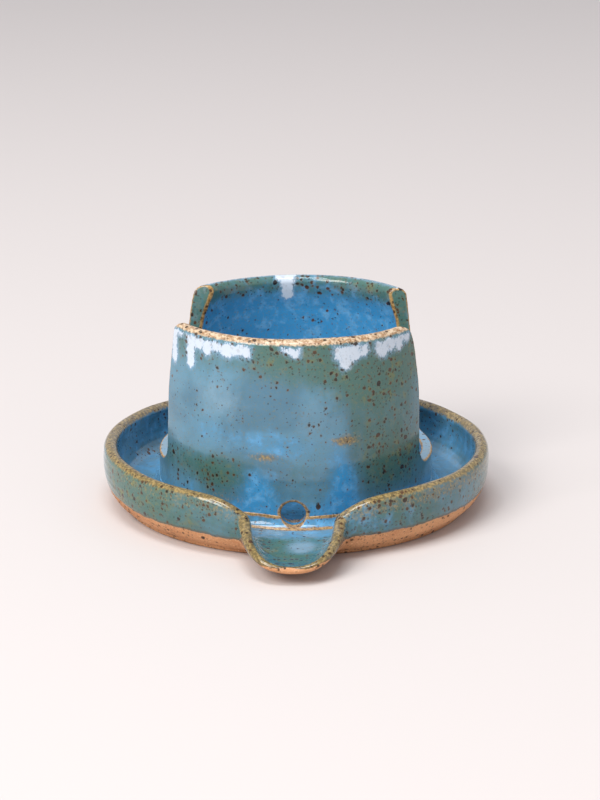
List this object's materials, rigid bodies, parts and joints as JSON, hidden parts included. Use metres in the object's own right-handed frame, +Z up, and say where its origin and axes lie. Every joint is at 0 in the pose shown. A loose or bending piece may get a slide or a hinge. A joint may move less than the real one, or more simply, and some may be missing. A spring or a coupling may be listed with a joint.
{
  "type": "draining sponge holder",
  "caption": "Thrown stoneware sponge holder: a round drip tray with a pulled pouring spout carries a slotted ring with a drain hole at its foot.",
  "frame": {"origin": "on the axis of the round drip tray, on the flat base it stands on", "axes": "+Z up out of the ring's open top, -Y out along the spout, +X to the right seen from the spout"},
  "size_m": [0.15, 0.1728, 0.077],
  "materials": {
    "blue_glaze": "glossy speckled slate-blue stoneware glaze over bare tan clay at the foot"
  },
  "bodies": {
    "root": {"drip_tray": "blue_glaze", "slotted_ring": "blue_glaze", "outer_joint_coil": "blue_glaze", "inner_joint_coil": "blue_glaze"}
  },
  "joints": []
}
